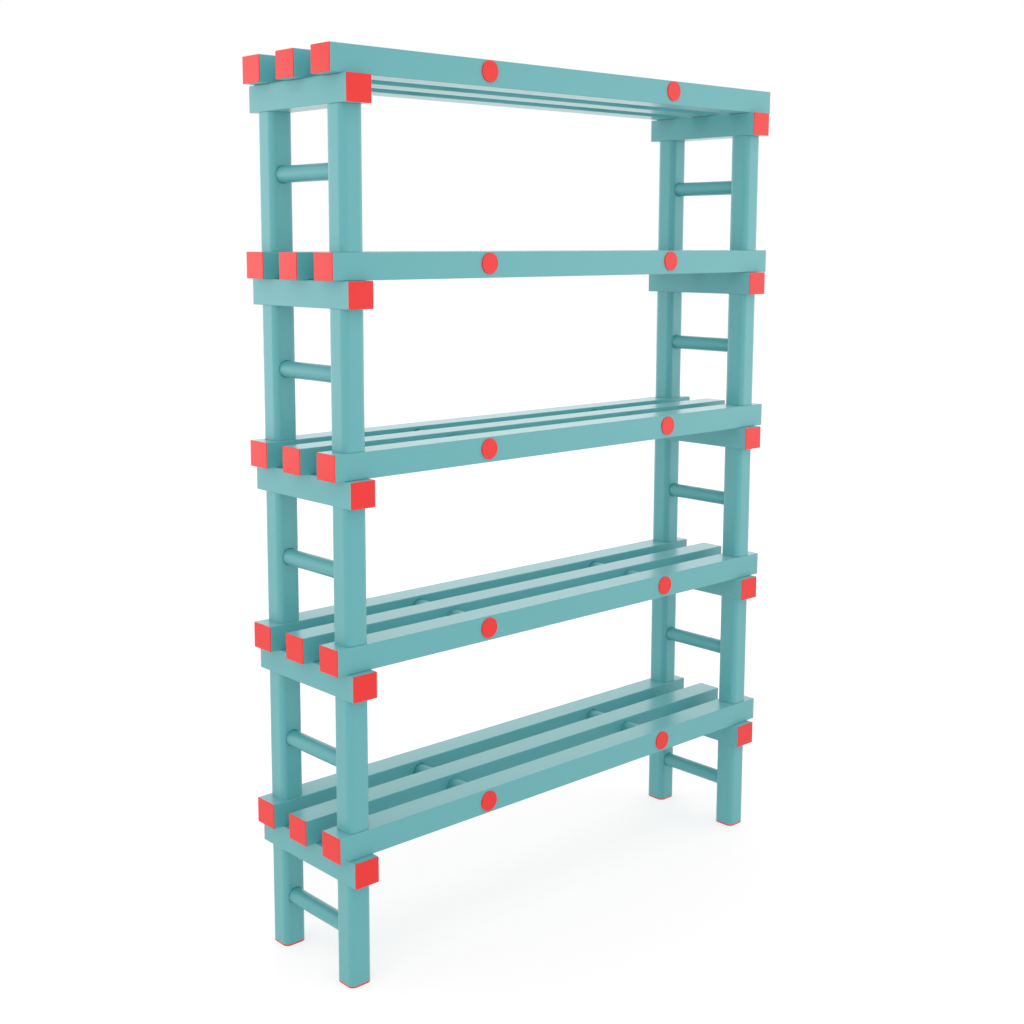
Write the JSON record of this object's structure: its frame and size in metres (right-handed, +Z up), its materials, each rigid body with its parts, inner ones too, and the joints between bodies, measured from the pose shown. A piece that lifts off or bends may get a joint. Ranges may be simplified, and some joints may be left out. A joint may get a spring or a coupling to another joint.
{
  "type": "plastic shelving unit",
  "caption": "Free-standing open shelving unit of teal plastic profiles: slatted shelves on stacked end frames with round rungs, and red plugs in the open ends.",
  "frame": {"origin": "on the floor, under the middle of the unit", "axes": "+Z up, +X along the slats to the right, -Y to the front"},
  "size_m": [1.5, 0.3704, 2.1065],
  "materials": {
    "teal_pvc": "satin extruded PVC, teal",
    "red_cap": "satin moulded plastic, red"
  },
  "bodies": {
    "root": {"tier1_slat_front": "teal_pvc", "tier1_slat_middle": "teal_pvc", "tier1_slat_rear": "teal_pvc", "tier1_crossbeam_left": "teal_pvc", "tier1_rung_left": "teal_pvc", "tier1_post_front_left": "teal_pvc", "tier1_post_rear_left": "teal_pvc", "tier1_crossbeam_right": "teal_pvc", "tier1_rung_right": "teal_pvc", "tier1_post_front_right": "teal_pvc", "tier1_post_rear_right": "teal_pvc", "tier2_slat_front": "teal_pvc", "tier2_slat_middle": "teal_pvc", "tier2_slat_rear": "teal_pvc", "tier2_crossbeam_left": "teal_pvc", "tier2_rung_left": "teal_pvc", "tier2_post_front_left": "teal_pvc", "tier2_post_rear_left": "teal_pvc", "tier2_crossbeam_right": "teal_pvc", "tier2_rung_right": "teal_pvc", "tier2_post_front_right": "teal_pvc", "tier2_post_rear_right": "teal_pvc", "tier3_slat_front": "teal_pvc", "tier3_slat_middle": "teal_pvc", "tier3_slat_rear": "teal_pvc", "tier3_crossbeam_left": "teal_pvc", "tier3_rung_left": "teal_pvc", "tier3_post_front_left": "teal_pvc", "tier3_post_rear_left": "teal_pvc", "tier3_crossbeam_right": "teal_pvc", "tier3_rung_right": "teal_pvc", "tier3_post_front_right": "teal_pvc", "tier3_post_rear_right": "teal_pvc", "tier4_slat_front": "teal_pvc", "tier4_slat_middle": "teal_pvc", "tier4_slat_rear": "teal_pvc", "tier4_crossbeam_left": "teal_pvc", "tier4_rung_left": "teal_pvc", "tier4_post_front_left": "teal_pvc", "tier4_post_rear_left": "teal_pvc", "tier4_crossbeam_right": "teal_pvc", "tier4_rung_right": "teal_pvc", "tier4_post_front_right": "teal_pvc", "tier4_post_rear_right": "teal_pvc", "tier5_slat_front": "teal_pvc", "tier5_slat_middle": "teal_pvc", "tier5_slat_rear": "teal_pvc", "tier5_crossbeam_left": "teal_pvc", "tier5_rung_left": "teal_pvc", "tier5_post_front_left": "teal_pvc", "tier5_post_rear_left": "teal_pvc", "tier5_crossbeam_right": "teal_pvc", "tier5_rung_right": "teal_pvc", "tier5_post_front_right": "teal_pvc", "tier5_post_rear_right": "teal_pvc", "foot_cap_front_left": "red_cap", "foot_cap_front_right": "red_cap", "foot_cap_rear_left": "red_cap", "foot_cap_rear_right": "red_cap"}
  },
  "joints": []
}
